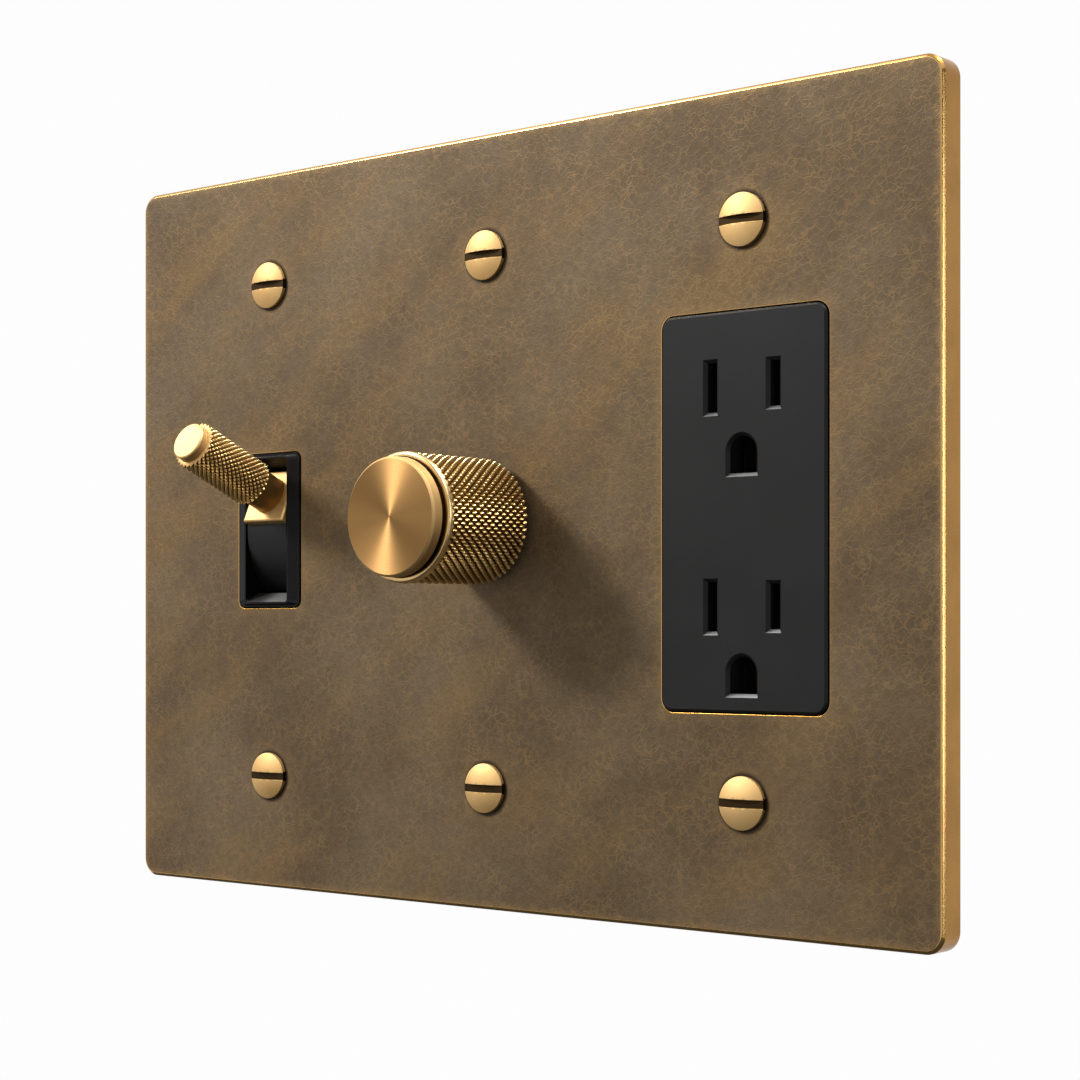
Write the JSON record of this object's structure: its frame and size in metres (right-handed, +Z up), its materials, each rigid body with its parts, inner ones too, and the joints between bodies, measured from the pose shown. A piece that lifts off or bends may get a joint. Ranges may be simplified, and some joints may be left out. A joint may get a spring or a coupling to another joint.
{
  "type": "combination wall plate with toggle switch, dimmer and receptacle",
  "caption": "Wide brass wall plate with a toggle light switch, a push-and-turn dimmer knob and a duplex power receptacle, each on its own box strap.",
  "frame": {"origin": "middle of the plate, on the wall plane behind its rim", "axes": "+Z up, +X to the viewer's right, -Y out of the wall towards the room"},
  "size_m": [0.19, 0.0654, 0.141],
  "materials": {
    "patina_brass": "dark bronze patina with a fine vein, bright milled edges",
    "bright_brass": "polished",
    "black_plastic": "fine matte",
    "housing_plastic": "moulded",
    "moving_plastic": "moulded",
    "plated_steel": "zinc plated",
    "spring_steel": "drawn wire",
    "heat_sink": "sheet",
    "contact_brass": "rolled sheet",
    "brass_screw": "machined",
    "nickel_screw": "nickel plated",
    "green_screw": "green dyed plating",
    "silver_contact": "silver alloy",
    "circuit_board": "coated laminate",
    "component_plastic": "moulded",
    "capacitor_film": "dipped",
    "copper_winding": "enamelled copper wire"
  },
  "bodies": {
    "unit": {"face_plate": "patina_brass", "plate_screws": "bright_brass", "toggle_bezel": "black_plastic", "receptacle_face": "black_plastic", "toggle_housing": "housing_plastic", "dimmer_housing": "housing_plastic", "receptacle_body": "housing_plastic", "dimmer_switch": "housing_plastic", "toggle_strap": "plated_steel", "receptacle_strap": "plated_steel", "box_screws": "plated_steel", "strap_rivets": "plated_steel", "toggle_pivot_pin": "plated_steel", "rocker_pin": "plated_steel", "dimmer_nut": "plated_steel", "dimmer_washer": "plated_steel", "receptacle_screws": "plated_steel", "dimmer_pot_case": "plated_steel", "dimmer_return_spring": "spring_steel", "dimmer_strap": "heat_sink", "line_terminal": "contact_brass", "load_terminal": "contact_brass", "hot_contact": "contact_brass", "neutral_contact": "contact_brass", "ground_contact": "contact_brass", "dimmer_terminals": "contact_brass", "dimmer_bushing": "contact_brass", "toggle_terminal_screws": "brass_screw", "dimmer_terminal_screws": "brass_screw", "hot_terminal_screws": "brass_screw", "neutral_terminal_screws": "nickel_screw", "ground_screws": "green_screw", "fixed_contact": "silver_contact", "dimmer_board": "circuit_board", "dimmer_track": "circuit_board", "dimmer_triac": "component_plastic", "dimmer_capacitor": "capacitor_film", "dimmer_choke": "copper_winding"},
    "toggle": {"toggle_lever": "bright_brass", "toggle_sleeve": "bright_brass", "toggle_drum": "black_plastic", "toggle_spring": "spring_steel"},
    "plunger": {"toggle_plunger": "plated_steel"},
    "rocker": {"toggle_rocker": "moving_plastic", "moving_contact": "silver_contact"},
    "rotor": {"dimmer_rotor": "moving_plastic", "dimmer_wiper": "contact_brass"},
    "knob": {"dimmer_shaft": "plated_steel", "knob_sleeve": "bright_brass", "knob_cap": "bright_brass", "knob_set_screw": "plated_steel"},
    "push_button": {"dimmer_push_button": "moving_plastic"}
  },
  "joints": [
    {"name": "toggle_tilt", "type": "hinge", "parent": "unit", "child": "toggle", "pos_m": [-0.057, 0.0106, 0], "axis": [1, 0, 0], "range_deg": [0, 48]},
    {"name": "plunger_slide", "type": "slide", "parent": "toggle", "child": "plunger", "axis": [0, -0.9135, 0.4067], "range_m": [0, 0.0008], "stiffness_N_per_m": 500, "springref_m": -0.001, "deforming": ["toggle_spring"]},
    {"name": "contact_rock", "type": "hinge", "parent": "unit", "child": "rocker", "pos_m": [-0.057, 0.0282, 0], "axis": [1, 0, 0], "range_deg": [-10, 0]},
    {"name": "dimmer_turn", "type": "hinge", "parent": "unit", "child": "rotor", "pos_m": [0, 0, 0], "axis": [0, -1, 0], "range_deg": [-140, 140]},
    {"name": "dimmer_push", "type": "slide", "parent": "rotor", "child": "knob", "axis": [0, 1, 0], "range_m": [0, 0.001], "stiffness_N_per_m": 1500, "springref_m": -0.002},
    {"name": "button_push", "type": "slide", "parent": "unit", "child": "push_button", "axis": [0, 1, 0], "range_m": [0, 0.001], "deforming": ["dimmer_return_spring"]}
  ],
  "couplings": [
    {"joint": "contact_rock", "follows": "toggle_tilt", "ratio": -0.20833},
    {"joint": "button_push", "follows": "dimmer_push", "ratio": 1}
  ]
}
